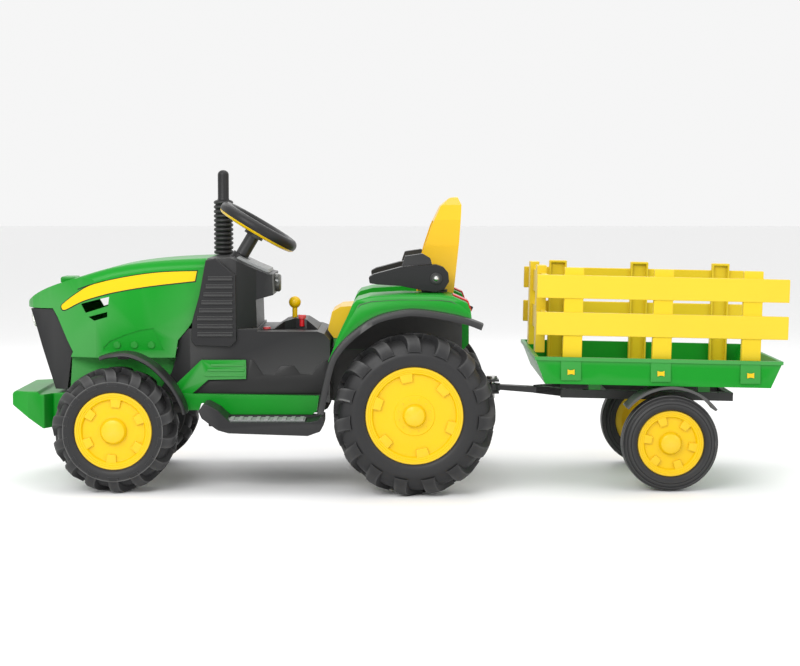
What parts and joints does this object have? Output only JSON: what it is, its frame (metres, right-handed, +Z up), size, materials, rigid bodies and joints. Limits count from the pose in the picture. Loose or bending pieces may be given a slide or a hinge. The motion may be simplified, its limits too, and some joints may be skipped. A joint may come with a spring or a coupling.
{
  "type": "ride-on toy tractor with trailer",
  "caption": "Child's battery ride-on tractor with steering wheel, bucket seat and step bars, towing a two-wheeled stake-side trailer.",
  "frame": {"origin": "centre of the whole object's bounding box, on the ground", "axes": "+X towards the trailer's rear, +Y to the tractor's right, +Z up; the tractor's front faces -X"},
  "size_m": [1.8, 0.64, 0.739],
  "materials": {
    "green": "satin moulded",
    "black": "satin moulded",
    "grey": "satin moulded",
    "clear_lens": "polished",
    "battery_case": "matt",
    "yellow": "satin moulded",
    "yellow_seat": "satin moulded",
    "yellow_planks": "satin moulded",
    "red": "polished",
    "red_lens": "polished",
    "steel": "zinc plated",
    "steel_painted": "powder coated",
    "tyre_plastic": "blow moulded"
  },
  "bodies": {
    "tractor": {"hood_shell": "green", "front_grille": "black", "headlight_lenses": "clear_lens", "front_weight": "green", "chassis_shell": "black", "battery": "battery_case", "side_grilles": "black", "dashboard_cowl": "black", "dash_panel": "grey", "gauge_dome": "clear_lens", "console_dome": "black", "pivot_pins": "steel", "lower_panels": "green", "step_bars": "black", "step_treads": "grey", "rear_fender_left": "green", "rear_fender_right": "green", "fender_flares": "black", "tail_light_lenses": "red_lens", "seat_deck": "green", "seat_shell": "yellow_seat", "armrest_brackets": "black", "exhaust_stack": "black", "front_fenders": "black", "front_axle_beam": "steel_painted", "gearmotors": "black", "rear_axle": "steel", "hitch_plate": "steel_painted"},
    "steering_wheel": {"steering_shaft": "steel_painted", "steering_rim": "black", "steering_grip": "yellow"},
    "tie_rod": {"tie_rod": "steel"},
    "knuckle_left": {"knuckle_left": "steel_painted"},
    "knuckle_right": {"knuckle_right": "steel_painted"},
    "accelerator_pedal": {"accelerator_pedal": "black"},
    "gear_lever": {"gear_lever": "yellow"},
    "mode_switch": {"mode_switch": "red"},
    "power_button": {"power_button": "red"},
    "armrest_left": {"armrest_left": "black"},
    "armrest_right": {"armrest_right": "black"},
    "hitch_pin": {"hitch_pin": "steel"},
    "trailer": {"trailer_frame": "steel_painted", "trailer_axle": "steel", "trailer_tray": "green", "stake_side_left": "yellow_planks", "stake_side_right": "yellow_planks", "stake_front": "yellow_planks", "trailer_mudguards": "black"},
    "front_wheel_left": {"front_tyre_left": "tyre_plastic", "front_rim_left": "yellow"},
    "front_wheel_right": {"front_tyre_right": "tyre_plastic", "front_rim_right": "yellow"},
    "rear_wheel_left": {"rear_tyre_left": "tyre_plastic", "rear_rim_left": "yellow"},
    "rear_wheel_right": {"rear_tyre_right": "tyre_plastic", "rear_rim_right": "yellow"},
    "trailer_wheel_left": {"trailer_tyre_left": "tyre_plastic", "trailer_rim_left": "yellow"},
    "trailer_wheel_right": {"trailer_tyre_right": "tyre_plastic", "trailer_rim_right": "yellow"}
  },
  "joints": [
    {"name": "steering_turn", "type": "hinge", "parent": "tractor", "child": "steering_wheel", "pos_m": [-0.329, 0, 0.602], "axis": [0.512, 0, 0.859], "range_deg": [-28.8, 28.8]},
    {"name": "tie_rod_shift", "type": "slide", "parent": "tractor", "child": "tie_rod", "axis": [0, 1, 0], "range_m": [-0.0126, 0.0126]},
    {"name": "knuckle_left_steer", "type": "hinge", "parent": "tractor", "child": "knuckle_left", "pos_m": [-0.642, -0.15, 0.143], "axis": [0, 0, 1], "range_deg": [-12.05, 12.05]},
    {"name": "knuckle_right_steer", "type": "hinge", "parent": "tractor", "child": "knuckle_right", "pos_m": [-0.642, 0.15, 0.143], "axis": [0, 0, 1], "range_deg": [-12.05, 12.05]},
    {"name": "front_wheel_left_spin", "type": "hinge", "parent": "knuckle_left", "child": "front_wheel_left", "pos_m": [-0.642, -0.221, 0.143], "axis": [0, 1, 0], "continuous": true},
    {"name": "front_wheel_right_spin", "type": "hinge", "parent": "knuckle_right", "child": "front_wheel_right", "pos_m": [-0.642, 0.221, 0.143], "axis": [0, 1, 0], "continuous": true},
    {"name": "rear_wheel_left_spin", "type": "hinge", "parent": "tractor", "child": "rear_wheel_left", "pos_m": [0.0425, -0.265, 0.184], "axis": [0, 1, 0], "continuous": true},
    {"name": "rear_wheel_right_spin", "type": "hinge", "parent": "tractor", "child": "rear_wheel_right", "pos_m": [0.0425, 0.265, 0.184], "axis": [0, 1, 0], "continuous": true},
    {"name": "accelerator_press", "type": "hinge", "parent": "tractor", "child": "accelerator_pedal", "pos_m": [-0.372, 0.208, 0.182], "axis": [0, 1, 0], "range_deg": [0, 9], "stiffness_Nm_per_rad": 1.5, "springref_deg": -8.59},
    {"name": "gear_select", "type": "hinge", "parent": "tractor", "child": "gear_lever", "pos_m": [-0.243, 0, 0.345], "axis": [0, 1, 0], "range_deg": [-13, 13]},
    {"name": "mode_select", "type": "hinge", "parent": "tractor", "child": "mode_switch", "pos_m": [-0.222, -0.066, 0.386], "axis": [0, 0, 1], "range_deg": [-45, 45]},
    {"name": "power_press", "type": "slide", "parent": "tractor", "child": "power_button", "axis": [0, 0, -1], "range_m": [0, 0.003], "stiffness_N_per_m": 300, "springref_m": -0.001},
    {"name": "armrest_left_flip", "type": "hinge", "parent": "tractor", "child": "armrest_left", "pos_m": [0.093, -0.165, 0.487], "axis": [0, 1, 0], "range_deg": [0, 80]},
    {"name": "armrest_right_flip", "type": "hinge", "parent": "tractor", "child": "armrest_right", "pos_m": [0.093, 0.165, 0.487], "axis": [0, 1, 0], "range_deg": [0, 80]},
    {"name": "hitch_pin_lift", "type": "slide", "parent": "tractor", "child": "hitch_pin", "axis": [0, 0, 1], "range_m": [0, 0.05]},
    {"name": "trailer_swing", "type": "hinge", "parent": "tractor", "child": "trailer", "pos_m": [0.232, 0, 0.219], "axis": [0, 0, 1], "range_deg": [-20, 20]},
    {"name": "trailer_wheel_left_spin", "type": "hinge", "parent": "trailer", "child": "trailer_wheel_left", "pos_m": [0.63, -0.21, 0.111], "axis": [0, 1, 0], "continuous": true},
    {"name": "trailer_wheel_right_spin", "type": "hinge", "parent": "trailer", "child": "trailer_wheel_right", "pos_m": [0.63, 0.21, 0.111], "axis": [0, 1, 0], "continuous": true}
  ],
  "couplings": [
    {"joint": "tie_rod_shift", "follows": "steering_turn", "m_per_rad": 0.025},
    {"joint": "knuckle_left_steer", "follows": "steering_turn", "ratio": 0.41667},
    {"joint": "knuckle_right_steer", "follows": "steering_turn", "ratio": 0.41667}
  ]
}
